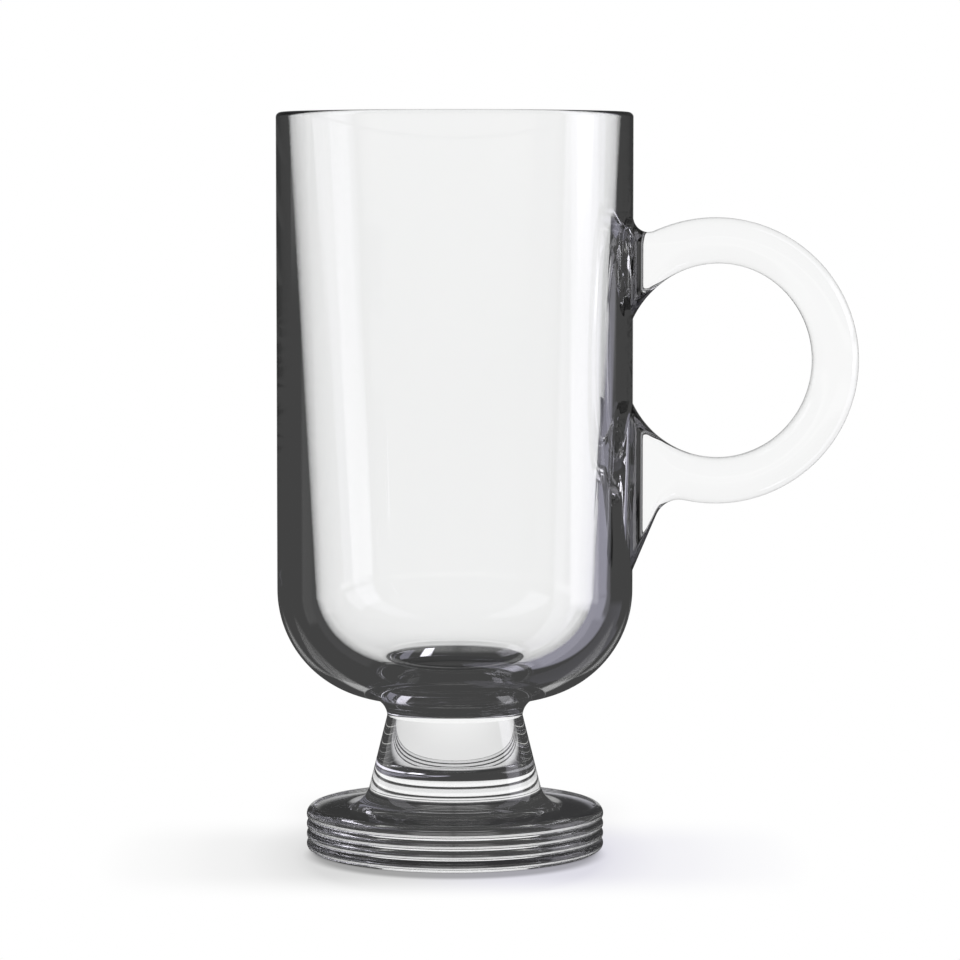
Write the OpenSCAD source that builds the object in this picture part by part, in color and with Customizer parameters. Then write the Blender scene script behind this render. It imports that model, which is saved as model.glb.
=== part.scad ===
// Footed glass mug for hot drinks: a thick-walled bowl, a tapered stem, a ribbed foot and a ring handle.
// The pieces are fused glass: each one ends in a plain face that lies on the next piece.
// Millimetres, +Z up, the origin on the bowl's axis in the plane that the foot stands on, the handle towards +X.

/* [Bowl] */
// Outside diameter of the bowl
bowl_d = 73; // [66:0.5:82]
// Height of the whole mug, from the table to the rim
overall_h = 151.6; // [140:0.1:170]
// Thickness of the wall at the rim
rim_wall = 2.5; // [2.2:0.1:4]
// Draft of the inside of the wall, in degrees
wall_draft = 3.05; // [1:0.05:4]
// Radius of the rounded edges of the lip
lip_r = 1; // [0.4:0.1:1.1]
// Outside radius of the bowl's round bottom
bowl_corner_r = 22.5; // [20:0.5:26]
// Inside radius of the bowl's round bottom
cavity_corner_r = 16; // [10:0.5:20]
// Thickness of the glass under the floor of the bowl
floor_t = 7.1; // [5:0.1:12]

/* [Stem] */
// Diameter of the neck, where the stem meets the bowl
neck_d = 27.9; // [22:0.1:32]
// Radius of the hollow curve from the neck to the underside of the bowl
neck_fillet_r = 4.4; // [3:0.1:8]
// Slope of that curve from the vertical, where it starts at the neck, in degrees
neck_flare = 6; // [0:0.5:30]
// Height of the neck above the top face of the foot
stem_h = 18.6; // [14:0.1:26]
// Slope of the stem's side from the vertical, in degrees
stem_taper = 14; // [5:0.5:18]

/* [Foot] */
// Diameter of the foot over its ribs
foot_d = 61.2; // [56:0.1:68]
// Height of the foot's flat top face above the table
foot_h = 9.3; // [7:0.1:11]
// Number of ribs around the edge of the foot
rib_count = 4; // [2:1:5]
// Depth of the grooves between the ribs
rib_depth = 0.6; // [0.2:0.05:0.7]
// Radius of the round edge of the top face
foot_edge_r = 1.8; // [0.8:0.1:2.5]
// Height of the plain edge under the lowest rib
base_land = 0.4; // [0.2:0.05:1]
// How far the standing edge lies inside the ribs
base_setback = 1.4; // [0.8:0.1:2]
// Width of the ring that stands on the table
stand_w = 7.5; // [4:0.5:12]
// Depth of the hollow under the foot, at its centre
recess_depth = 1.2; // [0.5:0.1:2.5]
// Radius of the hollow curve from the top face to the stem
foot_fillet_r = 5.05; // [2:0.05:6]

/* [Handle] */
// Width of the finger hole, were it not closed by the wall
finger_hole_w = 38.7; // [34:0.1:46]
// Height of the finger hole
finger_hole_h = 39.8; // [34:0.1:46]
// Height of the finger hole where the wall closes it
finger_gap_h = 17.4; // [12:0.1:24]
// Width of the ring, above and below the finger hole
ring_w = 9.4; // [7:0.1:12]
// How far the finger hole sits outside the centre of the ring, which thickens the two roots
hole_shift = 0.5; // [0:0.1:1.5]
// Distance from the rim down to the centre of the ring
ring_drop = 50.7; // [44:0.1:56]
// Thickness of the handle, side to side
handle_t = 10; // [8.4:0.2:13]
// Radius of the ring's rounded edges, across the thickness
handle_edge_r = 4; // [1:0.1:4.8]
// Radius of the hollow curve between the upper root and the ring
upper_fillet_r = 3.2; // [2:0.1:5]
// Radius of the hollow curve between the lower root and the ring
lower_fillet_r = 5; // [3:0.1:6]
// How far the lower root runs down the wall below the ring
gusset_run = 13.6; // [9:0.1:16]
// Slope of the lower root's edge from the vertical, in degrees
gusset_slope = 23; // [15:0.5:28]
// Radius of the hollow curve where each side of the handle runs into the wall
root_fillet_r = 3.1; // [1.5:0.1:4]
// Radius of the edges of the two roots
root_edge_r = 2.5; // [1:0.1:4]
// Radius of the corners of that widening, on the wall
root_corner_r = 4.4; // [2:0.1:5]

/* [Hidden] */
$fn = 96;

// Straight steps in a quarter turn of an outline
quarter_steps = 24;
// Straight steps in a quarter turn of a small rounded edge
edge_steps = 6;
// Straight steps along the parts of the handle: each hollow curve, the ring, and the lower root's edge
lug_steps = 9;
ring_steps = 40;
tie_steps = 4;
gusset_steps = 7;
// Straight steps across a flat side of the handle
side_steps = 4;
// Where the ring starts and ends, between its two roots, in degrees from +X
ring_from = 104;
ring_to = -94;
// Part of the ring's width that is rounded at each edge
ring_edge_share = 0.42;
// How deep each root reaches into the wall before the wall is cut away, as a share of the hole's own reach
root_sink_share = 0.5;
// Part of the root's hollow curve that is left straight, where it meets the wall
root_bevel_share = 0.1;
// Slope of the upper hollow curve where it leaves the wall, in degrees
lug_bevel = 15;
// Distance over which a root turns into the ring, as a share of the root's hollow curve
blend_share = 2;

clear_glass = [0.86, 0.89, 0.9, 0.4];

// Bowl and neck: the outside corner is tangent to the wall and to the neck's hollow curve
bowl_r = bowl_d / 2;
neck_r = neck_d / 2;
neck_z = foot_h + stem_h;
corner_x = bowl_r - bowl_corner_r;
neck_curve_x = neck_r + neck_fillet_r * cos(neck_flare);
neck_curve_z = neck_z - neck_fillet_r * sin(neck_flare);
corner_reach = bowl_corner_r + neck_fillet_r;
corner_z = neck_curve_z + sqrt(pow(corner_reach, 2) - pow(neck_curve_x - corner_x, 2));
neck_turn = asin((neck_curve_x - corner_x) / corner_reach);

// Cavity: a drafted wall, tangent to a round corner, above a flat floor
rim_inner_r = bowl_r - rim_wall;
floor_z = corner_z - bowl_corner_r + floor_t;
cavity_z = floor_z + cavity_corner_r;
cavity_x = rim_inner_r - (overall_h - cavity_z) * tan(wall_draft) - cavity_corner_r / cos(wall_draft);

// Stem and foot: the foot's hollow curve is tangent to its top face and to the stem
stem_apex_r = neck_r + stem_h * tan(stem_taper);
foot_curve_x = stem_apex_r + foot_fillet_r * tan(45 - stem_taper / 2);
foot_curve_z = foot_h + foot_fillet_r;
stem_base_z = foot_curve_z - foot_fillet_r * sin(stem_taper);
stem_base_r = foot_curve_x - foot_fillet_r * cos(stem_taper);

// Ribs: equal round beads, of which the top one runs into the round edge of the top face
foot_r = foot_d / 2;
base_r = foot_r - base_setback;
recess_r = base_r - stand_w;
top_rib_z = foot_h - foot_edge_r;
bead_half = (top_rib_z - base_land) / (2 * rib_count - 1);
rib_pitch = 2 * bead_half;
bead_r = (pow(bead_half, 2) + pow(rib_depth, 2)) / (2 * rib_depth);
bead_turn = asin(bead_half / bead_r);
recess_ball_r = (pow(recess_r, 2) + pow(recess_depth, 2)) / (2 * recess_depth);
recess_turn = asin(recess_r / recess_ball_r);

// Handle, as seen from the side: distances from the wall, and heights from the centre of the ring
hole_half_w = finger_hole_w / 2;
hole_half_h = finger_hole_h / 2;
ring_outer_r = hole_half_h + ring_w;
hole_reach = hole_half_w * sqrt(1 - pow(finger_gap_h / finger_hole_h, 2));
ring_reach = hole_reach - hole_shift;
ring_z = overall_h - ring_drop;
half_t = handle_t / 2;
root_sink = (hole_half_w - hole_reach) * root_sink_share;
sink_turn = acos(-(hole_reach + root_sink) / hole_half_w);
upper_reach = ring_outer_r + upper_fillet_r;
upper_curve_z = sqrt(pow(upper_reach, 2) - pow(ring_reach - upper_fillet_r, 2));
upper_turn = acos((upper_fillet_r - ring_reach) / upper_reach);
upper_sink_z = upper_curve_z - upper_fillet_r * sin(lug_bevel)
    + (root_sink + upper_fillet_r * (1 - cos(lug_bevel))) / tan(lug_bevel);
lower_reach = ring_outer_r + lower_fillet_r;
gusset_drop = ring_outer_r + gusset_run;
gusset_sink_z = -gusset_drop - root_sink / tan(gusset_slope);
// The lower hollow curve's centre lies off the sloping edge by its radius, and off the ring by the same
ring_off_edge = ring_reach * cos(gusset_slope) - gusset_drop * sin(gusset_slope);
ring_along_edge = ring_reach * sin(gusset_slope) + gusset_drop * cos(gusset_slope);
curve_along_edge = ring_along_edge - sqrt(pow(lower_reach, 2) - pow(ring_off_edge - lower_fillet_r, 2));
edge_x = curve_along_edge * sin(gusset_slope);
edge_z = curve_along_edge * cos(gusset_slope) - gusset_drop;
lower_curve_x = edge_x + lower_fillet_r * cos(gusset_slope);
lower_curve_z = edge_z - lower_fillet_r * sin(gusset_slope);
lower_turn = -acos((lower_curve_x - ring_reach) / lower_reach);
// The straight end of the root's hollow curve
bevel_w = root_fillet_r * root_bevel_share;
bevel_rate = (root_fillet_r - bevel_w) / sqrt(pow(root_fillet_r, 2) - pow(root_fillet_r - bevel_w, 2));

// Points along an arc from one angle to another, with both ends
function arc(x, y, r, from, to, steps) =
    [for (i = [0:steps]) let (a = from + (to - from) * i / steps) [x + r * cos(a), y + r * sin(a)]];

// The outside of the bowl, from the neck's face up to the lip, as a half outline
function bowl_outside() = concat(
    [[0, neck_z]],
    arc(neck_curve_x, neck_curve_z, neck_fillet_r, 180 - neck_flare, 90 + neck_turn, quarter_steps),
    arc(corner_x, corner_z, bowl_corner_r, neck_turn - 90, 0, quarter_steps),
    arc(bowl_r - lip_r, overall_h - lip_r, lip_r, 0, 90, edge_steps));

// The inside of the bowl, from the lip down to the floor
function bowl_inside() = concat(
    arc(rim_inner_r + lip_r, overall_h - lip_r, lip_r, 90, 180 - wall_draft, edge_steps),
    arc(cavity_x, cavity_z, cavity_corner_r, -wall_draft, -90, quarter_steps),
    [[0, floor_z]]);

module bowl() {
    color(clear_glass)
    rotate_extrude()
        polygon(concat(bowl_outside(), bowl_inside()));
}

// The bowl with its cavity filled, which the handle's roots are fitted to
module bowl_envelope() {
    rotate_extrude()
        polygon(concat(bowl_outside(), [[0, overall_h]]));
}

module stem() {
    color(clear_glass)
    rotate_extrude()
        polygon([
            [0, stem_base_z],
            [stem_base_r, stem_base_z],
            [neck_r, neck_z],
            [0, neck_z]]);
}

// One bead of the foot's edge, from its lower groove to its upper groove
function bead(level) =
    arc(foot_r - bead_r, level, bead_r, -bead_turn, bead_turn, edge_steps);

module foot() {
    lower_beads = [
        for (i = [rib_count - 1:-1:1])
        for (p = bead(top_rib_z - i * rib_pitch)) p];
    top_bead = concat(
        arc(foot_r - bead_r, top_rib_z, bead_r, -bead_turn, 0, edge_steps),
        arc(foot_r - foot_edge_r, top_rib_z, foot_edge_r, 0, 90, edge_steps));
    boss = arc(foot_curve_x, foot_curve_z, foot_fillet_r, 270, 180 + stem_taper, quarter_steps);
    hollow = arc(0, recess_depth - recess_ball_r, recess_ball_r, 90, 90 - recess_turn, quarter_steps);
    color(clear_glass)
    rotate_extrude()
        polygon(concat(hollow, [[base_r, 0]], lower_beads, top_bead, boss, [[0, stem_base_z]]));
}

// The edge along the finger hole, from inside the wall at the upper root to inside the wall at the lower root
function inner_edge() =
    let (upper_steps = 1 + lug_steps + tie_steps, lower_steps = tie_steps + lug_steps + gusset_steps)
    concat(
        [for (i = [0:upper_steps])
            hole_point(sink_turn + (ring_from - sink_turn) * pow(i / upper_steps, 2))],
        [for (i = [1:ring_steps])
            hole_point(ring_from + (ring_to - ring_from) * i / ring_steps)],
        [for (i = [lower_steps - 1:-1:0])
            hole_point(-sink_turn + (ring_to + sink_turn) * pow(i / lower_steps, 2))]);

function hole_point(a) = [hole_reach + hole_half_w * cos(a), hole_half_h * sin(a)];

// The outer edge, from the upper root over its hollow curve, round the ring, and down the lower root's slope
function outer_edge() = concat(
    [[-root_sink, upper_sink_z]],
    arc(upper_fillet_r, upper_curve_z, upper_fillet_r, 180 + lug_bevel, 180 + upper_turn, lug_steps),
    tail(arc(ring_reach, 0, ring_outer_r, upper_turn, ring_from, tie_steps)),
    tail(arc(ring_reach, 0, ring_outer_r, ring_from, ring_to, ring_steps)),
    tail(arc(ring_reach, 0, ring_outer_r, ring_to, lower_turn, tie_steps)),
    tail(arc(lower_curve_x, lower_curve_z, lower_fillet_r, 180 + lower_turn, 180 - gusset_slope, lug_steps)),
    [for (i = [gusset_steps - 1:-1:0]) let (share = pow(i / gusset_steps, 2))
        [edge_x * share - root_sink * (1 - share), edge_z * share + gusset_sink_z * (1 - share)]]);

// A list without its first item
function tail(list) = [for (i = [1:len(list) - 1]) list[i]];

// How much wider each side of the handle is at a distance from the wall
function widening(w) =
    let (left = max(root_fillet_r - max(w, bevel_w), 0))
    root_fillet_r - sqrt(pow(root_fillet_r, 2) - pow(left, 2)) + max(bevel_w - w, 0) * bevel_rate;

// How far a root has turned into the ring at a distance from the wall, from 0 to 1
function ring_part(w) =
    let (t = min(max((w / root_fillet_r - 1) / blend_share, 0), 1))
    t * t * (3 - 2 * t);

// Rounding of the handle's edges at a distance from the wall, from the rounding that they have on the ring
function rounding(w, on_ring) =
    root_edge_r + (on_ring - root_edge_r) * ring_part(w)
    + (root_corner_r - root_edge_r) * min(widening(w) / root_fillet_r, 1);

// A point of the handle in space: near the wall, the sides follow the roundness of the wall
function stand(spot, y) =
    let (out = bowl_r + spot[0], bend = out - sqrt(pow(out, 2) - pow(y, 2)))
    [out - bend * (1 - ring_part(spot[0])), y, ring_z + spot[1]];

// One section of the handle between a point of its inner edge and a point of its outer edge
function section(inner, outer) =
    let (span = norm(outer - inner),
        way = (outer - inner) / span,
        run_in = rounding(inner[0], ring_w * ring_edge_share),
        run_out = rounding(outer[0], ring_w * ring_edge_share),
        flat = span - run_in - run_out,
        deep_in = rounding(inner[0], handle_edge_r),
        deep_out = rounding(outer[0], handle_edge_r),
        turns = [for (i = [0:edge_steps]) 90 * i / edge_steps],
        side = concat(
            [for (a = turns) [run_in * (1 - cos(a)), deep_in * (1 - sin(a))]],
            [for (i = [1:side_steps - 1]) [run_in + flat * i / side_steps, 0]],
            [for (a = turns) [span - run_out * (1 - sin(a)), deep_out * (1 - cos(a))]]),
        spots = [for (p = side) inner + way * p[0]],
        reach = [for (i = [0:len(side) - 1]) half_t + widening(spots[i][0]) - side[i][1]],
        last = len(side) - 1)
    concat(
        [for (i = [0:last]) stand(spots[i], reach[i])],
        [for (i = [last:-1:0]) stand(spots[i], -reach[i])]);

// The handle is a run of sections: a flat ring with round edges, whose two ends widen into the wall
module handle() {
    inner = inner_edge();
    outer = outer_edge();
    sections = [for (i = [0:len(inner) - 1]) section(inner[i], outer[i])];
    count = len(sections[0]);
    rows = len(sections);
    skin = [
        for (row = [0:rows - 2])
        for (k = [0:count - 1])
        let (a = row * count + k, b = row * count + (k + 1) % count)
        for (f = [[a, a + count, b + count], [a, b + count, b]]) f];
    caps = [
        for (k = [0:count / 2 - 2])
        let (far = (rows - 1) * count, other = count - 1 - k)
        for (f = [[k, k + 1, other - 1, other], [far + other, far + other - 1, far + k + 1, far + k]]) f];
    color(clear_glass)
    difference() {
        polyhedron([for (s = sections) for (p = s) p], concat(skin, caps));
        bowl_envelope();
    }
}

bowl();
stem();
foot();
handle();
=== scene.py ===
import math

import bmesh
import bpy
import numpy as np
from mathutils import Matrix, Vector
from mathutils.geometry import delaunay_2d_cdt


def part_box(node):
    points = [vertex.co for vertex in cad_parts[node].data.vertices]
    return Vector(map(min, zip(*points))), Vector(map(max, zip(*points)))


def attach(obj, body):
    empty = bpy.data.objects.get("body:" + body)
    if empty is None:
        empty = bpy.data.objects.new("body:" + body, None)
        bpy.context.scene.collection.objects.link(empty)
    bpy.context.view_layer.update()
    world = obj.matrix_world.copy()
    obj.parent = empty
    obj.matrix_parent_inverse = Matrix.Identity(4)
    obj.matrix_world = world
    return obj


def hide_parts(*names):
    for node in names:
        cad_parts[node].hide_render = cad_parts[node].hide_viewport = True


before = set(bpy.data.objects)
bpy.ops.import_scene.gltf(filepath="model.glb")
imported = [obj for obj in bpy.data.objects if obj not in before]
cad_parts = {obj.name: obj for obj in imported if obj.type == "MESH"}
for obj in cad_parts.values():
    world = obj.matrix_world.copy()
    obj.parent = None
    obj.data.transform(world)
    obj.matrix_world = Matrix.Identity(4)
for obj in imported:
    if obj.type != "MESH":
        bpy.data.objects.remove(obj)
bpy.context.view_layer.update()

# Sizes are in metres. Those that the frame holds are read from its nodes' boxes.
MM = 0.001
BOWL_LOW, BOWL_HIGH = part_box("bowl")
FOOT_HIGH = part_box("foot")[1]

# Bowl: a drafted inside, a round bottom and a neck
BOWL_R = BOWL_HIGH.x
RIM_Z = BOWL_HIGH.z
NECK_Z = BOWL_LOW.z
NECK_R = 13.95 * MM
RIM_WALL = 2.5 * MM
LIP_R = 1.0 * MM
WALL_DRAFT = math.radians(3.05)
BOWL_CORNER_R = 22.5 * MM
CAVITY_CORNER_R = 16.0 * MM
FLOOR_T = 7.1 * MM
NECK_FILLET_R = 4.4 * MM
NECK_FLARE = math.radians(6)

# Foot: a hollow curve up to the stem, round ribs, and a hollow underneath
FOOT_R = FOOT_HIGH.x
FOOT_H = 9.3 * MM
FOOT_FILLET_R = 5.05 * MM
FOOT_EDGE_R = 1.8 * MM
RIB_COUNT = 4
RIB_DEPTH = 0.6 * MM
BASE_LAND = 0.4 * MM
BASE_SETBACK = 1.4 * MM
STAND_W = 7.5 * MM
RECESS_DEPTH = 1.2 * MM

# Stem: a cone from the neck down to where the foot's hollow curve starts
STEM_TAPER = math.radians(14)
STEM_BASE_Z = FOOT_H + FOOT_FILLET_R * (1 - math.sin(STEM_TAPER))
STEM_BASE_R = NECK_R + (NECK_Z - STEM_BASE_Z) * math.tan(STEM_TAPER)

# Handle: a flat ring with two roots that widen into the wall
HANDLE_T = 10.0 * MM
HANDLE_EDGE_R = 4.0 * MM
HOLE_HALF_W = 19.35 * MM
HOLE_HALF_H = 19.9 * MM
GAP_HALF = 8.7 * MM
RING_W = 9.4 * MM
HOLE_SHIFT = 0.5 * MM
RING_DROP = 50.7 * MM
UPPER_FILLET_R = 3.2 * MM
LOWER_FILLET_R = 5.0 * MM
GUSSET_RUN = 13.6 * MM
GUSSET_SLOPE = math.radians(23)
ROOT_FILLET_R = 3.1 * MM
ROOT_EDGE_R = 2.5 * MM
ROOT_CORNER_R = 4.4 * MM
ROOT_BLEND = 6.2 * MM
ROOT_BEVEL = 0.31 * MM
LUG_BEVEL = math.radians(15)
# Seen from the side: how far the middles of its hole and its ring stand out from the wall, the ring's outer
# radius and height, how far down the gusset ends, and between what angles the ring is clear of the roots
HOLE_REACH = HOLE_HALF_W * math.sqrt(1 - (GAP_HALF / HOLE_HALF_H) ** 2)
RING_REACH = HOLE_REACH - HOLE_SHIFT
RING_OUTER_R = HOLE_HALF_H + RING_W
RING_Z = RIM_Z - RING_DROP
GUSSET_DROP = RING_OUTER_R + GUSSET_RUN
RING_START, RING_END = 104.0, -96.0

# How finely the revolved pieces are cut
SEGMENTS = 288
ARC_STEPS = 40
EDGE_STEPS = 10
FLAT_STEPS = 8
STAND_STEPS = 6
NARROW_STEPS = 2
STEM_ROWS = 16
WALL_ROWS = 44
ANGLES = [2 * math.pi * k / SEGMENTS for k in range(SEGMENTS)]
COS = [math.cos(a) for a in ANGLES]
SIN = [math.sin(a) for a in ANGLES]
# The part of the wall that carries the handle: its half width in steps, and the share of a step that stays
# clear around the roots' outlines
WINDOW_HALF_STEPS = 13
WINDOW_CLEAR = 0.5
# How finely the handle's edges are traced, and how finely its sections and its ends on the wall are cut
TRACE_ROOT = 60
TRACE_RING = 90
TRACE_BEVEL = 6
TRACE_LUG = 40
TRACE_MEET = 20
TRACE_GUSSET = 30
ROOT_RIBS = 48
RING_RIBS = 120
SIDE_STEPS = 24
EDGE_FLAT_STEPS = 4
CAP_COLUMNS = 10
# A length that counts as nothing
TINY = 1e-9

# The material numbers of a piece: its surface, and its faces inside a fused seam
GLASS, FUSED = 0, 1


def arc(x, z, r, start, end, steps):
    """Points on an arc, each with the normal to the right of the way it runs."""
    side = 1 if end > start else -1
    points = []
    for i in range(steps + 1):
        a = math.radians(start + (end - start) * i / steps)
        c, s = math.cos(a), math.sin(a)
        points.append((x + r * c, z + r * s, side * c, side * s))
    return points


def line(start, end, steps):
    """Points on a straight run, each with the normal to the right of the way it runs."""
    dx, dz = end[0] - start[0], end[1] - start[1]
    length = math.hypot(dx, dz)
    return [
        (start[0] + dx * i / steps, start[1] + dz * i / steps, dz / length, -dx / length)
        for i in range(steps + 1)
    ]


class Shape:
    """A mesh in the making: its points, faces, each face's material and each corner's normal."""

    def __init__(self):
        self.points = []
        self.faces = []
        self.materials = []
        self.normals = []

    def add_point(self, point):
        """Adds a point and returns its number."""
        self.points.append(point)
        return len(self.points) - 1

    def add_face(self, corners, material, normals):
        """Adds a face, with a normal for each of its corners."""
        self.faces.append(corners)
        self.materials.append(material)
        self.normals.extend(normals)

    def build(self, name, materials):
        """Makes the piece from what was added."""
        mesh = bpy.data.meshes.new(name)
        mesh.from_pydata(self.points, [], self.faces)
        mesh.polygons.foreach_set("use_smooth", [True] * len(self.faces))
        mesh.polygons.foreach_set("material_index", self.materials)
        for material in materials:
            mesh.materials.append(material)
        mesh.normals_split_custom_set(self.normals)
        piece = bpy.data.objects.new(name, mesh)
        bpy.context.scene.collection.objects.link(piece)
        return piece


def ring_of_points(shape, r, z):
    """A ring of points about Z, or on the axis one point, repeated."""
    if r < TINY:
        return [shape.add_point((0.0, 0.0, z))] * SEGMENTS
    return [shape.add_point((r * COS[k], r * SIN[k], z)) for k in range(SEGMENTS)]


def turn(shape, runs, skip=None):
    """Revolves runs of profile points about Z, and returns each run's rings of points.

    A run starts on the last ring of the run before it. Where skip(run, row, step) is true, no face is made.
    """
    rings = []
    last = None
    for number, (points, material) in enumerate(runs):
        run_rings = [
            last if last and i == 0 else ring_of_points(shape, r, z)
            for i, (r, z, _, _) in enumerate(points)
        ]
        last = run_rings[-1]
        rings.append(run_rings)
        for i in range(len(points) - 1):
            low, high = run_rings[i], run_rings[i + 1]
            for k in range(SEGMENTS):
                if skip and skip(number, i, k):
                    continue
                n = (k + 1) % SEGMENTS
                corners = [(low[k], i, k), (low[n], i, n), (high[n], i + 1, n), (high[k], i + 1, k)]
                if low[0] == low[1]:
                    corners.pop(1)
                elif high[0] == high[1]:
                    corners.pop(2)
                normals = [
                    (points[j][2] * COS[m], points[j][2] * SIN[m], points[j][3]) for _, j, m in corners
                ]
                shape.add_face([c[0] for c in corners], material, normals)
    return rings


def hole_edge(start, end, steps):
    """Points on the finger hole, which is a little taller than wide."""
    turns = np.radians(np.linspace(start, end, steps + 1))
    return list(zip(HOLE_REACH + HOLE_HALF_W * np.cos(turns), HOLE_HALF_H * np.sin(turns)))


def inner_edge():
    """The handle's inner edge, from the upper root round the ring to the lower root.

    It is three runs of (distance from the wall, height), for the upper root, the ring and the lower root.
    """
    wall_turn = math.degrees(math.acos(-HOLE_REACH / HOLE_HALF_W))
    return [
        hole_edge(wall_turn, RING_START, TRACE_ROOT),
        hole_edge(RING_START, RING_END, TRACE_RING),
        hole_edge(RING_END, -wall_turn, TRACE_ROOT),
    ]


def upper_outer():
    """The outer edge of the upper root: a short bevel at the wall, a hollow curve, and the ring's start."""
    reach = RING_OUTER_R + UPPER_FILLET_R
    curve_z = math.sqrt(reach ** 2 - (RING_REACH - UPPER_FILLET_R) ** 2)
    curve_turn = math.degrees(math.atan2(curve_z, UPPER_FILLET_R - RING_REACH))
    bevel = math.degrees(LUG_BEVEL)
    bevel_x = UPPER_FILLET_R * (1 - math.cos(LUG_BEVEL))
    bevel_z = curve_z - UPPER_FILLET_R * math.sin(LUG_BEVEL)
    top = (0, bevel_z + bevel_x / math.tan(LUG_BEVEL))
    return (
        line(top, (bevel_x, bevel_z), TRACE_BEVEL)[:-1]
        + arc(UPPER_FILLET_R, curve_z, UPPER_FILLET_R, 180 + bevel, 180 + curve_turn, TRACE_LUG)
        + arc(RING_REACH, 0, RING_OUTER_R, curve_turn, RING_START, TRACE_MEET)[1:]
    )


def lower_outer():
    """The outer edge of the lower root: the ring's end, a hollow curve, and the slope of the gusset."""
    reach = RING_OUTER_R + LOWER_FILLET_R
    slope_c, slope_s = math.cos(GUSSET_SLOPE), math.sin(GUSSET_SLOPE)
    off_edge = RING_REACH * slope_c - GUSSET_DROP * slope_s
    along_edge = RING_REACH * slope_s + GUSSET_DROP * slope_c
    curve_along = along_edge - math.sqrt(reach ** 2 - (off_edge - LOWER_FILLET_R) ** 2)
    edge_end = (curve_along * slope_s, curve_along * slope_c - GUSSET_DROP)
    curve_x = edge_end[0] + LOWER_FILLET_R * slope_c
    curve_z = edge_end[1] - LOWER_FILLET_R * slope_s
    curve_turn = math.degrees(math.atan2(curve_z, curve_x - RING_REACH))
    gusset = math.degrees(GUSSET_SLOPE)
    return (
        arc(RING_REACH, 0, RING_OUTER_R, RING_END, curve_turn, TRACE_MEET)
        + arc(curve_x, curve_z, LOWER_FILLET_R, curve_turn + 180, 180 - gusset, TRACE_GUSSET)[1:]
        + line(edge_end, (0, -GUSSET_DROP), TRACE_GUSSET)[1:]
    )


def outer_edge():
    """The handle's outer edge, in the same three runs as the inner one."""
    ring = arc(RING_REACH, 0, RING_OUTER_R, RING_START, RING_END, TRACE_RING)
    return [upper_outer(), ring, lower_outer()]


def walk(points, shares):
    """Places along a run of points, at the given shares of its length."""
    flat = np.array([p[:2] for p in points])
    steps = np.hypot(*np.diff(flat, axis=0).T)
    length = np.concatenate([[0], np.cumsum(steps)])
    at = np.asarray(shares) * length[-1]
    return np.column_stack([np.interp(at, length, flat[:, 0]), np.interp(at, length, flat[:, 1])])


def handle_ribs():
    """Pairs of inner and outer edge points, closer together near the wall."""
    near = np.linspace(0, 1, ROOT_RIBS + 1) ** 2
    even = np.linspace(0, 1, RING_RIBS + 1)
    shares = [near, even[1:-1], 1 - near[::-1]]
    ins = np.vstack([walk(run, s) for run, s in zip(inner_edge(), shares)])
    outs = np.vstack([walk(run, s) for run, s in zip(outer_edge(), shares)])
    return ins, outs


def widening(w):
    """How far the handle's side stands out near the wall: a hollow curve with a straight end."""
    near = np.clip(ROOT_FILLET_R - np.maximum(w, ROOT_BEVEL), 0, ROOT_FILLET_R)
    end = ROOT_FILLET_R - ROOT_BEVEL
    rate = end / math.sqrt(ROOT_FILLET_R ** 2 - end ** 2)
    curve = ROOT_FILLET_R - np.sqrt(ROOT_FILLET_R ** 2 - near ** 2)
    return curve + np.maximum(ROOT_BEVEL - w, 0) * rate


def smooth(share):
    """A soft step from 0 to 1."""
    share = np.clip(share, 0, 1)
    return share * share * (3 - 2 * share)


def edge_radius(w):
    """Radius of the handle's edges: smaller at the roots than on the ring, and wider again on the wall."""
    ring_share = smooth((w - ROOT_FILLET_R) / ROOT_BLEND)
    wall_share = widening(w) / ROOT_FILLET_R
    at_ring, at_wall = HANDLE_EDGE_R - ROOT_EDGE_R, ROOT_CORNER_R - ROOT_EDGE_R
    return ROOT_EDGE_R + at_ring * ring_share + at_wall * wall_share


def rib_section(inner, outer):
    """The front side of one section of the handle, from an inner to an outer edge point.

    Each point is (distance from the wall, sideways, height).
    """
    span = outer - inner
    length = np.hypot(*span)
    way = span / length
    turns = np.radians(np.linspace(0, 90, EDGE_STEPS + 1))
    across = np.linspace(0, 1, SIDE_STEPS + 1)

    def place(along, sideways):
        """The point at a way along the section and a way out from its middle plane."""
        spot = inner + way * along
        return (spot[0], sideways, spot[1])

    def half_t(along):
        """Half the handle's thickness at a way along the section."""
        return HANDLE_T / 2 + widening((inner + way * along)[0])

    points = []
    start_edge = edge_radius(inner[0])
    end_edge = edge_radius(outer[0])
    for share in np.linspace(0, 1, EDGE_FLAT_STEPS + 1)[:-1]:
        points.append(place(0, share * (half_t(0) - start_edge)))
    for t in turns:
        along = start_edge * (1 - math.cos(t))
        points.append(place(along, half_t(along) - start_edge * (1 - math.sin(t))))
    for share in across[1:-1]:
        along = start_edge + share * (length - start_edge - end_edge)
        points.append(place(along, half_t(along)))
    for t in turns[::-1]:
        along = length - end_edge * (1 - math.cos(t))
        points.append(place(along, half_t(along) - end_edge * (1 - math.sin(t))))
    for share in np.linspace(1, 0, EDGE_FLAT_STEPS + 1)[1:]:
        points.append(place(length, share * (half_t(length) - end_edge)))
    return points


def stand(point):
    """The real place of a section's point, bent to the wall's curve near the wall."""
    w, y, z = point
    keep = 1 - smooth((w - ROOT_FILLET_R) / ROOT_BLEND)
    out = BOWL_R + w
    x = out - keep * (out - math.sqrt(out ** 2 - y ** 2))
    return (x, y, z + RING_Z)


def section_loop(front):
    """The whole loop of a section: its front side and, mirrored, its back side."""
    back = [(w, -y, z) for w, y, z in front[-2:0:-1]]
    return [stand(p) for p in front] + [stand(p) for p in back]


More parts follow.
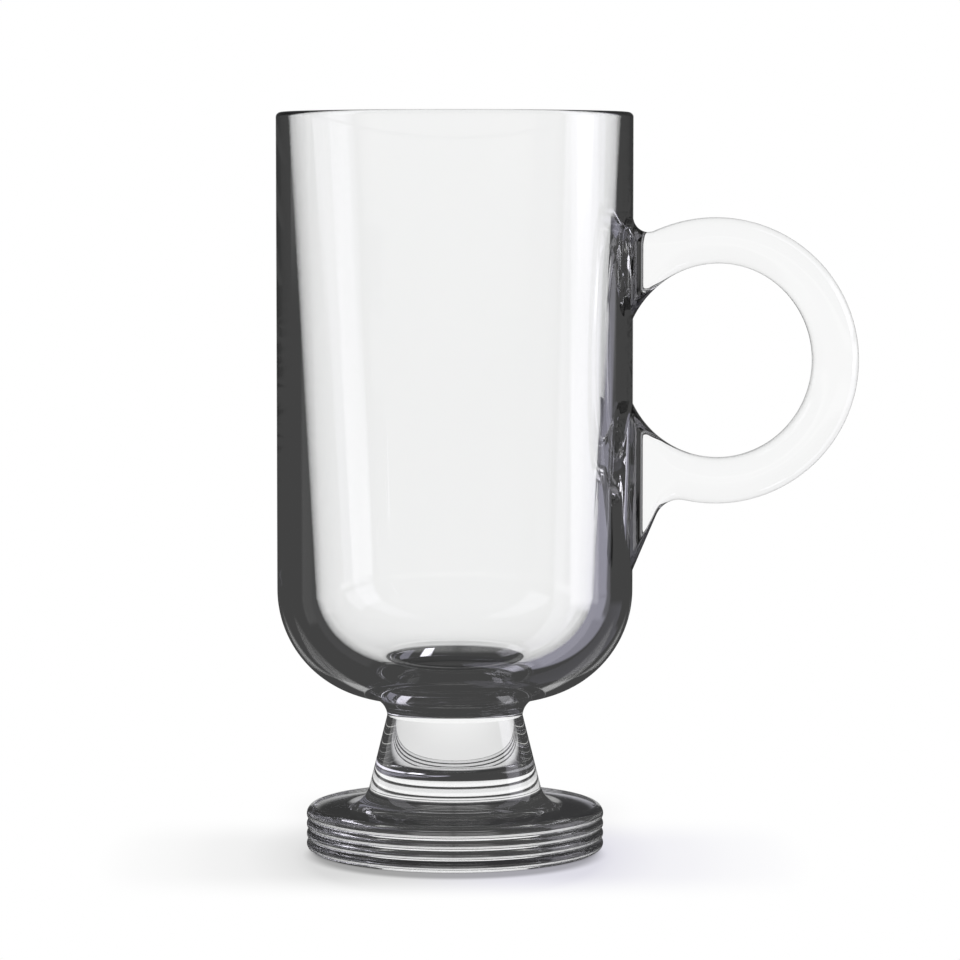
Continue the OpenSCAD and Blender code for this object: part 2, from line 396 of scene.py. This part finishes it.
def add_handle(glass, fused):
    """Makes the handle, and returns it with the outlines of its two roots on the wall."""
    ins, outs = handle_ribs()
    fronts = [rib_section(i, o) for i, o in zip(ins, outs)]
    loops = [section_loop(front) for front in fronts]
    made = bmesh.new()
    rows = [[made.verts.new(p) for p in loop] for loop in loops]
    count = len(rows[0])
    for low, high in zip(rows, rows[1:]):
        for k in range(count):
            n = (k + 1) % count
            made.faces.new((low[k], low[n], high[n], high[k])).smooth = True
    for front, row in ((fronts[0], rows[0]), (fronts[-1], rows[-1])):
        add_cap(made, front, row)
    bmesh.ops.recalc_face_normals(made, faces=made.faces)
    for row in (rows[0], rows[-1]):
        for k in range(count):
            made.edges.get((row[k], row[(k + 1) % count])).smooth = False
    mesh = bpy.data.meshes.new("handle_glass")
    made.to_mesh(mesh)
    made.free()
    mesh.materials.append(glass)
    mesh.materials.append(fused)
    piece = bpy.data.objects.new("handle_glass", mesh)
    bpy.context.scene.collection.objects.link(piece)
    return piece, loops[0], loops[-1]


def add_cap(made, front, row):
    """Closes a root with a face that lies on the bowl's wall."""
    count = len(row)
    last = len(front) - 1
    lines = []
    for i, (w, y, z) in enumerate(front):
        if i in (0, last):
            lines.append([row[i]] * (CAP_COLUMNS + 1))
            continue
        inside = [
            made.verts.new(stand((w, y * (1 - 2 * c / CAP_COLUMNS), z))) for c in range(1, CAP_COLUMNS)
        ]
        lines.append([row[i], *inside, row[count - i]])
    for low, high in zip(lines, lines[1:]):
        for c in range(CAP_COLUMNS):
            corners = []
            for v in (low[c], low[c + 1], high[c + 1], high[c]):
                if v not in corners:
                    corners.append(v)
            face = made.faces.new(corners)
            face.material_index = FUSED
            face.smooth = True


def inside_loop(loop, s, z):
    """True if a place on the unrolled wall lies inside a closed loop."""
    hit = False
    for (s0, z0), (s1, z1) in zip(loop, loop[1:] + loop[:1]):
        if (z0 > z) != (z1 > z) and s < s0 + (z - z0) / (z1 - z0) * (s1 - s0):
            hit = not hit
    return hit


def bowl_profile():
    """The bowl's profile in runs, from the seam at the neck up the outside and down the inside.

    Returns the runs, the number of the straight outside wall among them, and the heights of its two ends.
    """
    corner_x = BOWL_R - BOWL_CORNER_R
    curve_x = NECK_R + NECK_FILLET_R * math.cos(NECK_FLARE)
    curve_z = NECK_Z - NECK_FILLET_R * math.sin(NECK_FLARE)
    reach = BOWL_CORNER_R + NECK_FILLET_R
    corner_z = curve_z + math.sqrt(reach ** 2 - (curve_x - corner_x) ** 2)
    neck_turn = math.degrees(math.asin((curve_x - corner_x) / reach))
    flare = math.degrees(NECK_FLARE)
    draft = math.degrees(WALL_DRAFT)
    rim_inner = BOWL_R - RIM_WALL
    floor_z = corner_z - BOWL_CORNER_R + FLOOR_T
    cavity_z = floor_z + CAVITY_CORNER_R
    cavity_top = rim_inner - (RIM_Z - cavity_z) * math.tan(WALL_DRAFT)
    cavity_x = cavity_top - CAVITY_CORNER_R / math.cos(WALL_DRAFT)
    lip_z = RIM_Z - LIP_R
    lip_in = arc(rim_inner + LIP_R, lip_z, LIP_R, 90, 180 - draft, EDGE_STEPS)
    corner_in = arc(cavity_x, cavity_z, CAVITY_CORNER_R, -draft, -90, ARC_STEPS)
    below_wall = [
        (line((0, NECK_Z), (NECK_R, NECK_Z), FLAT_STEPS), FUSED),
        (arc(curve_x, curve_z, NECK_FILLET_R, 180 - flare, 90 + neck_turn, EDGE_STEPS * 2), GLASS),
        (arc(corner_x, corner_z, BOWL_CORNER_R, neck_turn - 90, 0, ARC_STEPS), GLASS),
    ]
    runs = below_wall + [
        (line((BOWL_R, corner_z), (BOWL_R, lip_z), WALL_ROWS), GLASS),
        (arc(BOWL_R - LIP_R, lip_z, LIP_R, 0, 90, EDGE_STEPS), GLASS),
        (line((BOWL_R - LIP_R, RIM_Z), (rim_inner + LIP_R, RIM_Z), NARROW_STEPS), GLASS),
        (lip_in, GLASS),
        (line(lip_in[-1], corner_in[0], WALL_ROWS), GLASS),
        (corner_in, GLASS),
        (line((cavity_x, floor_z), (0, floor_z), FLAT_STEPS), GLASS),
    ]
    return runs, len(below_wall), corner_z, lip_z


def add_bowl(glass, fused, loops):
    """Makes the bowl, with the outlines of the handle's roots cut into its wall."""
    runs, wall, wall_low, wall_high = bowl_profile()
    row_h = (wall_high - wall_low) / WALL_ROWS
    heights = [p[2] for loop in loops for p in loop]
    first = int((min(heights) - wall_low) / row_h) - 1
    last = int((max(heights) - wall_low) / row_h) + 2

    def in_window(run, row, step):
        """True for the wall's own faces where the handle stands."""
        near = step < WINDOW_HALF_STEPS or step >= SEGMENTS - WINDOW_HALF_STEPS
        return run == wall and near and first <= row < last

    shape = Shape()
    rings = turn(shape, runs, in_window)
    add_window(shape, rings[wall], first, last, loops)
    return shape.build("bowl_glass", [glass, fused])


def window_grid(shape, rings, first, last, flat_loops):
    """The wall's own points in the window, without those too close to the roots' outlines.

    Returns their places on the unrolled wall, their numbers in the shape, and the border's edges.
    """
    steps = list(range(-WINDOW_HALF_STEPS, WINDOW_HALF_STEPS + 1))
    step_w = BOWL_R * ANGLES[1]
    spots, owners, grid = [], [], {}
    for row in range(first, last + 1):
        for step in steps:
            owner = rings[row][step % SEGMENTS]
            spot = (step_w * step, shape.points[owner][2])
            border = row in (first, last) or step in (steps[0], steps[-1])
            close = any(math.dist(spot, q) < WINDOW_CLEAR * step_w for loop in flat_loops for q in loop)
            if close and not border:
                continue
            grid[row, step] = len(spots)
            spots.append(spot)
            owners.append(owner)
    edges = []
    for row in (first, last):
        edges += [(grid[row, a], grid[row, a + 1]) for a in steps[:-1]]
    for step in (steps[0], steps[-1]):
        edges += [(grid[row, step], grid[row + 1, step]) for row in range(first, last)]
    return spots, owners, edges


def add_window(shape, rings, first, last, loops):
    """The part of the bowl's wall that carries the handle, with the two roots' outlines cut into it."""
    flat_loops = [[(BOWL_R * math.asin(p[1] / BOWL_R), p[2]) for p in loop] for loop in loops]
    spots, owners, edges = window_grid(shape, rings, first, last, flat_loops)
    for loop in flat_loops:
        start, count = len(spots), len(loop)
        for s, z in loop:
            a = s / BOWL_R
            spots.append((s, z))
            owners.append(shape.add_point((BOWL_R * math.cos(a), BOWL_R * math.sin(a), z)))
        edges += [(start + i, start + (i + 1) % count) for i in range(count)]
    made = delaunay_2d_cdt([Vector(s) for s in spots], edges, [], 0, TINY)
    places, _, faces, sources = made[:4]
    for face in faces:
        corners = [owners[sources[i][0]] for i in face]
        a, b, c = (places[i] for i in face)
        middle = (a + b + c) / 3
        joined = any(inside_loop(loop, middle.x, middle.y) for loop in flat_loops)
        if (b - a).cross(c - a) < 0:
            corners.reverse()
        normals = [
            (shape.points[i][0] / BOWL_R, shape.points[i][1] / BOWL_R, 0.0) for i in corners
        ]
        shape.add_face(corners, FUSED if joined else GLASS, normals)


def add_stem(glass, fused):
    """Makes the solid stem, which is fused to the foot below and to the bowl above."""
    shape = Shape()
    turn(shape, [
        (line((0, STEM_BASE_Z), (STEM_BASE_R, STEM_BASE_Z), FLAT_STEPS), FUSED),
        (line((STEM_BASE_R, STEM_BASE_Z), (NECK_R, NECK_Z), STEM_ROWS), GLASS),
        (line((NECK_R, NECK_Z), (0, NECK_Z), FLAT_STEPS), FUSED),
    ])
    return shape.build("stem_glass", [glass, fused])


def add_foot(glass, fused):
    """Makes the foot, from the middle of its underside out over the ribs and up to the stem."""
    taper = math.degrees(STEM_TAPER)
    curve_x = STEM_BASE_R + FOOT_FILLET_R * math.cos(STEM_TAPER)
    top_rib_z = FOOT_H - FOOT_EDGE_R
    bead_half = (top_rib_z - BASE_LAND) / (2 * RIB_COUNT - 1)
    bead_r = (bead_half ** 2 + RIB_DEPTH ** 2) / (2 * RIB_DEPTH)
    bead_turn = math.degrees(math.asin(bead_half / bead_r))
    base_r = FOOT_R - BASE_SETBACK
    recess_r = base_r - STAND_W
    ball_r = (recess_r ** 2 + RECESS_DEPTH ** 2) / (2 * RECESS_DEPTH)
    recess_turn = math.degrees(math.asin(recess_r / ball_r))
    bead_x = FOOT_R - bead_r
    beads = [
        arc(bead_x, top_rib_z - 2 * bead_half * i, bead_r, -bead_turn, bead_turn, EDGE_STEPS)
        for i in range(RIB_COUNT - 1, 0, -1)
    ]
    runs = [
        (arc(0, RECESS_DEPTH - ball_r, ball_r, 90, 90 - recess_turn, ARC_STEPS), GLASS),
        (line((recess_r, 0), (base_r, 0), STAND_STEPS), GLASS),
        (line((base_r, 0), beads[0][0], NARROW_STEPS), GLASS),
        *((bead, GLASS) for bead in beads),
        (arc(bead_x, top_rib_z, bead_r, -bead_turn, 0, EDGE_STEPS // 2), GLASS),
        (arc(FOOT_R - FOOT_EDGE_R, top_rib_z, FOOT_EDGE_R, 0, 90, EDGE_STEPS), GLASS),
        (line((FOOT_R - FOOT_EDGE_R, FOOT_H), (curve_x, FOOT_H), FLAT_STEPS), GLASS),
        (arc(curve_x, FOOT_H + FOOT_FILLET_R, FOOT_FILLET_R, 270, 180 + taper, EDGE_STEPS * 2), GLASS),
        (line((STEM_BASE_R, STEM_BASE_Z), (0, STEM_BASE_Z), FLAT_STEPS), FUSED),
    ]
    shape = Shape()
    turn(shape, runs)
    return shape.build("foot_glass", [glass, fused])


def new_material(name):
    """A new material with its nodes."""
    material = bpy.data.materials.new(name)
    material.use_nodes = True
    return material, material.node_tree


def add_node(tree, kind, settings=None, **sockets):
    """Adds a node, sets its options, and gives each named input a value or the output that feeds it.

    A name such as _0 is an input's number, and other names have _ for each space.
    """
    made = tree.nodes.new("ShaderNode" + kind)
    for name, value in (settings or {}).items():
        setattr(made, name, value)
    for name, value in sockets.items():
        socket = made.inputs[int(name[1:])] if name[0] == "_" else made.inputs[name.replace("_", " ")]
        if isinstance(value, bpy.types.NodeSocket):
            tree.links.new(value, socket)
        else:
            socket.default_value = value
    return made


def math_node(tree, operation, *values):
    """The output of a Math node."""
    inputs = {f"_{i}": value for i, value in enumerate(values)}
    return add_node(tree, "Math", {"operation": operation}, **inputs).outputs[0]


def soft_step(tree, value, start, end, low=0.0, high=1.0):
    """The output of a smooth step from low to high, as a value goes from start to end."""
    made = add_node(
        tree, "MapRange", {"interpolation_type": "SMOOTHSTEP"},
        Value=value, From_Min=start, From_Max=end, To_Min=low, To_Max=high,
    )
    return made.outputs[0]


def after_reflection(tree):
    """1 on the way of light that glass has mirrored, and 0 on any other."""
    path = add_node(tree, "LightPath")
    return math_node(tree, "GREATER_THAN", path.outputs["Glossy Depth"], 0.5)


# The glass, the faint, slow waves of its fire-polished surface, and how far they vary its tint and polish
GLASS_IOR = 1.5
WAVES_PER_M = 55.0
WAVE_DETAIL = 1.0
WAVE_DEPTH = 0.02 * MM
WAVE_STRENGTH = 0.15
TINTS = ((0.992, 0.997, 0.995, 1.0), (1.0, 1.0, 1.0, 1.0))
POLISH_WAVES = (0.3, 0.7)
POLISH = (0.0, 0.004)


def make_glass():
    """Clear soda-lime glass, fire-polished, with the faint waves of a pressed surface."""
    material, tree = new_material("clear_glass")
    shader = tree.nodes["Principled BSDF"]
    shader.inputs["Transmission Weight"].default_value = 1.0
    shader.inputs["IOR"].default_value = GLASS_IOR
    place = add_node(tree, "TexCoord").outputs["Object"]
    noise = add_node(tree, "TexNoise", Vector=place, Scale=WAVES_PER_M, Detail=WAVE_DETAIL)
    waves = noise.outputs[0]
    bump = add_node(tree, "Bump", Strength=WAVE_STRENGTH, Distance=WAVE_DEPTH, Height=waves)
    tint = add_node(tree, "MixRGB", Fac=waves, Color1=TINTS[0], Color2=TINTS[1])
    polish = soft_step(tree, waves, *POLISH_WAVES, *POLISH)
    tree.links.new(tint.outputs[0], shader.inputs["Base Color"])
    tree.links.new(polish, shader.inputs["Roughness"])
    tree.links.new(bump.outputs[0], shader.inputs["Normal"])
    return material


def make_fused():
    """Inside a fused seam there is no surface, so light passes straight on."""
    material, tree = new_material("fused_seam")
    tree.nodes["Principled BSDF"].inputs["Alpha"].default_value = 0.0
    return material


# The mug's soft shadow on the floor: how bright the floor is at distances from the shadow's middle, where
# that is, and how much of a distance counts from front to back, since the shadow is longer that way
SHADOW_STOPS = (
    (30 * MM, 0.7), (33 * MM, 0.775), (35 * MM, 0.8), (39 * MM, 0.843), (43 * MM, 0.88),
    (49 * MM, 0.9), (57 * MM, 0.94), (65 * MM, 0.965), (73 * MM, 1.0),
)
SHADOW_MIDDLE = -6 * MM
SHADOW_BACK_SHARE = 0.6
# The shadow ends between these places in front of the mug and behind it
SHADOW_FRONT = (-60 * MM, -30 * MM)
SHADOW_BACK = (5 * MM, 42 * MM)
# A faint tail of the shadow behind the mug, seen through the stem: half its width, where it starts and ends
# behind the axis, and how dark it is
TAIL_HALF_W = (16 * MM, 42 * MM)
TAIL_START = (5 * MM, 25 * MM)
TAIL_BACK = (48 * MM, 82 * MM)
TAIL_DARK = 0.18
# The painted shade under the foot, and the painted contact shadow in front of it, a disc whose middle is in
# front of the axis
UNDER_REACH = (27.5 * MM, 30.6 * MM)
UNDER_BRIGHT = 0.06
EDGE_MIDDLE = -6.8 * MM
EDGE_REACH = (27.4 * MM, 31.6 * MM)
EDGE_BRIGHT = 0.52
# How much the shadow on the handle's side leans to red, green and blue
SHADOW_TINT = (0.13, 0.09, 0.42)
FLOOR_HALF = 4.0


def length_node(tree, a, b):
    """The output of the length of the vector (a, b)."""
    squares = math_node(tree, "MULTIPLY", a, a), math_node(tree, "MULTIPLY", b, b)
    return math_node(tree, "SQRT", math_node(tree, "ADD", *squares))


def soft_shade(tree, x, y):
    """How dark the wide, soft shadow is at a place on the floor."""
    from_middle = math_node(tree, "SUBTRACT", y, SHADOW_MIDDLE)
    along = math_node(tree, "MULTIPLY", from_middle, SHADOW_BACK_SHARE)
    far = SHADOW_STOPS[-1][0]
    ramp = add_node(tree, "ValToRGB", Fac=math_node(tree, "DIVIDE", length_node(tree, x, along), far))
    stops = ramp.color_ramp.elements
    ramp.color_ramp.interpolation = "LINEAR"
    while len(stops) < len(SHADOW_STOPS):
        stops.new(0.5)
    for stop, (distance, bright) in zip(stops, SHADOW_STOPS):
        stop.position = distance / far
        stop.color = (bright, bright, bright, 1)
    front, back = soft_step(tree, y, *SHADOW_FRONT), soft_step(tree, y, *SHADOW_BACK, 1.0, 0.0)
    shade = math_node(tree, "SUBTRACT", 1.0, ramp.outputs["Color"])
    return math_node(tree, "MULTIPLY", shade, math_node(tree, "MULTIPLY", front, back))


def close_shade(tree, x, y):
    """How bright the painted shade under the foot, the painted contact shadow in front of it and the
    shadow's tail leave a place on the floor.
    """
    edge_reach = length_node(tree, x, math_node(tree, "SUBTRACT", y, EDGE_MIDDLE))
    edge = soft_step(tree, edge_reach, *EDGE_REACH, EDGE_BRIGHT, 1.0)
    under = soft_step(tree, length_node(tree, x, y), *UNDER_REACH, UNDER_BRIGHT, 1.0)
    start, back = soft_step(tree, y, *TAIL_START), soft_step(tree, y, *TAIL_BACK, 1.0, 0.0)
    across = soft_step(tree, math_node(tree, "ABSOLUTE", x), *TAIL_HALF_W, -TAIL_DARK, 0.0)
    tail = math_node(tree, "MULTIPLY_ADD", math_node(tree, "MULTIPLY", start, back), across, 1.0)
    return math_node(tree, "MULTIPLY", math_node(tree, "MULTIPLY", edge, under), tail)


def floor_colour(tree):
    """The output of the floor's colour: white, with the mug's shadow in it."""
    place = add_node(tree, "SeparateXYZ", Vector=add_node(tree, "NewGeometry").outputs["Position"])
    x, y = place.outputs["X"], place.outputs["Y"]
    shade = soft_shade(tree, x, y)
    lit = math_node(tree, "SUBTRACT", 1.0, shade)
    side = soft_step(tree, x, -FOOT_R / 2, FOOT_R / 2)
    tinted = math_node(tree, "MULTIPLY", side, math_node(tree, "MULTIPLY", lit, shade))
    close = close_shade(tree, x, y)
    colours = [
        math_node(tree, "MULTIPLY", math_node(tree, "MULTIPLY_ADD", tinted, tint, lit), close)
        for tint in SHADOW_TINT
    ]
    return add_node(tree, "CombineXYZ", X=colours[0], Y=colours[1], Z=colours[2]).outputs[0]


def make_floor():
    """A white floor with the mug's soft shadow, which the glass doesn't mirror."""
    mesh = bpy.data.meshes.new("floor")
    corners = [(-1, -1), (1, -1), (1, 1), (-1, 1)]
    mesh.from_pydata([(x * FLOOR_HALF, y * FLOOR_HALF, 0) for x, y in corners], [], [(0, 1, 2, 3)])
    floor = bpy.data.objects.new("floor", mesh)
    bpy.context.scene.collection.objects.link(floor)
    material, tree = new_material("pale_floor")
    tree.nodes.remove(tree.nodes["Principled BSDF"])
    lit = add_node(tree, "Emission", Color=floor_colour(tree)).outputs[0]
    clear = add_node(tree, "BsdfTransparent").outputs[0]
    mix = add_node(tree, "MixShader", _0=after_reflection(tree), _1=lit, _2=clear)
    tree.links.new(mix.outputs[0], tree.nodes["Material Output"].inputs["Surface"])
    mesh.materials.append(material)


# The dark studio that the glass mirrors, and its soft lights. A light is given in degrees: from and to what
# turn round the mug, with 0 in front and 90 on the handle's side, and from and to what height. Its colour
# comes last.
STUDIO = (0.055, 0.055, 0.055)
LIGHTS = (
    # on the handle's side
    (120, 140, -17, -9, (0.2, 0.196, 0.245)),
    (120, 147, -60, -17, (0.2, 0.196, 0.245)),
    (80, 105, -55, 70, (0.9, 0.88, 1.0)),
    (80, 106, -8, -2, (1.6, 1.58, 1.65)),
    (85, 110, -2, 4, (1.1, 1.08, 1.14)),
    (82, 122, 8, 30, (1.3, 1.27, 1.4)),
    (70, 95, -68, -57, (1.7, 1.66, 1.85)),
    (112, 150, -85, -68, (0.4, 0.39, 0.47)),
    (105, 120, -18, -2, (0.72, 0.71, 0.84)),
    (110, 127, -2, 4, (1.3, 1.29, 1.36)),
    # on the other side
    (-105, -75, 18, 65, (1.1, 1.08, 1.17)),
    (-105, -75, -55, 4, (0.2, 0.2, 0.21)),
    (-78, -62, -2, 6, (0.25, 0.25, 0.26)),
    (-130, -105, 0, 8, (0.9, 0.9, 0.91)),
    (-116, -105, -20, 0, (0.3, 0.3, 0.3)),
    # in front
    (-60, 75, -18, 8, (0.19, 0.19, 0.19)),
    (-60, 75, 1, 8, (0.42, 0.42, 0.4)),
    # behind
    (170, 180, -4, 7, (0.5, 0.5, 0.5)),
    (-180, -170, -4, 7, (0.5, 0.5, 0.5)),
)
# How wide a light's soft edge is, in degrees
LIGHT_EDGE = 4.0
# Light that has met more surfaces than this on its way comes from the dark of the studio
LIGHT_DEPTH = 6


def make_world():
    """White for what is seen straight or through glass, and a dark studio for what glass mirrors."""
    world = bpy.data.worlds.new("studio")
    bpy.context.scene.world = world
    world.use_nodes = True
    tree = world.node_tree
    way = add_node(tree, "SeparateXYZ", Vector=add_node(tree, "TexCoord").outputs["Generated"])
    x, y, z = way.outputs
    forward = math_node(tree, "MULTIPLY", y, -1.0)
    turned = math_node(tree, "DEGREES", math_node(tree, "ARCTAN2", x, forward))
    raised = math_node(tree, "DEGREES", math_node(tree, "ARCSINE", z))

    def within(value, start, end):
        """1 between two angles and 0 outside them, with a soft edge."""
        from_middle = math_node(tree, "SUBTRACT", value, (start + end) / 2)
        off = math_node(tree, "ABSOLUTE", from_middle)
        half = (end - start) / 2
        return soft_step(tree, off, half - LIGHT_EDGE / 2, half + LIGHT_EDGE / 2, 1.0, 0.0)

    depth = add_node(tree, "LightPath").outputs["Ray Depth"]
    near = math_node(tree, "LESS_THAN", depth, LIGHT_DEPTH + 0.5)
    total = None
    for start, end, low, high, colour in LIGHTS:
        share = math_node(tree, "MULTIPLY", within(turned, start, end), within(raised, low, high))
        share = math_node(tree, "MULTIPLY", share, near)
        tint = add_node(tree, "VectorMath", {"operation": "SCALE"}, _0=colour, Scale=share)
        below = total.outputs[0] if total else STUDIO
        total = add_node(tree, "VectorMath", {"operation": "ADD"}, _0=below, _1=tint.outputs[0])
    studio = add_node(tree, "Background", Color=total.outputs[0]).outputs[0]
    white = tree.nodes["Background"]
    white.inputs["Color"].default_value = (1.0, 1.0, 1.0, 1.0)
    mix = add_node(tree, "MixShader", _0=after_reflection(tree), _1=white.outputs[0], _2=studio)
    tree.links.new(mix.outputs[0], tree.nodes["World Output"].inputs["Surface"])


# The camera fitted to the photo: its place, how many degrees it tips down, its lens and sensor in
# millimetres, the small shift that the photo's framing needs, and between what distances it sees
CAMERA_X = 5.16 * MM
CAMERA_BACK = 813.7 * MM
CAMERA_H = 137.9 * MM
CAMERA_TIP = 4.175
CAMERA_LENS = 149.0
CAMERA_SENSOR = 36.0
CAMERA_SHIFT = -0.0109
CAMERA_NEAR, CAMERA_FAR = 0.01, 20.0


def make_camera():
    """A camera at the photo's viewing angle, a little below the rim."""
    data = bpy.data.cameras.new("camera")
    camera = bpy.data.objects.new("camera", data)
    bpy.context.scene.collection.objects.link(camera)
    data.sensor_width = CAMERA_SENSOR
    data.lens = CAMERA_LENS
    data.shift_y = CAMERA_SHIFT
    data.clip_start = CAMERA_NEAR
    data.clip_end = CAMERA_FAR
    camera.location = (CAMERA_X, -CAMERA_BACK, CAMERA_H)
    camera.rotation_euler = (math.radians(90 - CAMERA_TIP), 0, 0)
    bpy.context.scene.camera = camera


# Light passes many surfaces on its way through the glass
BOUNCES = 32

scene = bpy.context.scene
scene.view_settings.view_transform = "Standard"
scene.cycles.max_bounces = BOUNCES
scene.cycles.transmission_bounces = BOUNCES
scene.cycles.glossy_bounces = BOUNCES
scene.cycles.transparent_max_bounces = BOUNCES

glass, fused = make_glass(), make_fused()
handle, upper_root, lower_root = add_handle(glass, fused)
pieces = {
    "handle": handle,
    "bowl": add_bowl(glass, fused, [upper_root, lower_root]),
    "stem": add_stem(glass, fused),
    "foot": add_foot(glass, fused),
}
for node, piece in pieces.items():
    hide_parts(node)
    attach(piece, "root")
make_floor()
make_world()
make_camera()
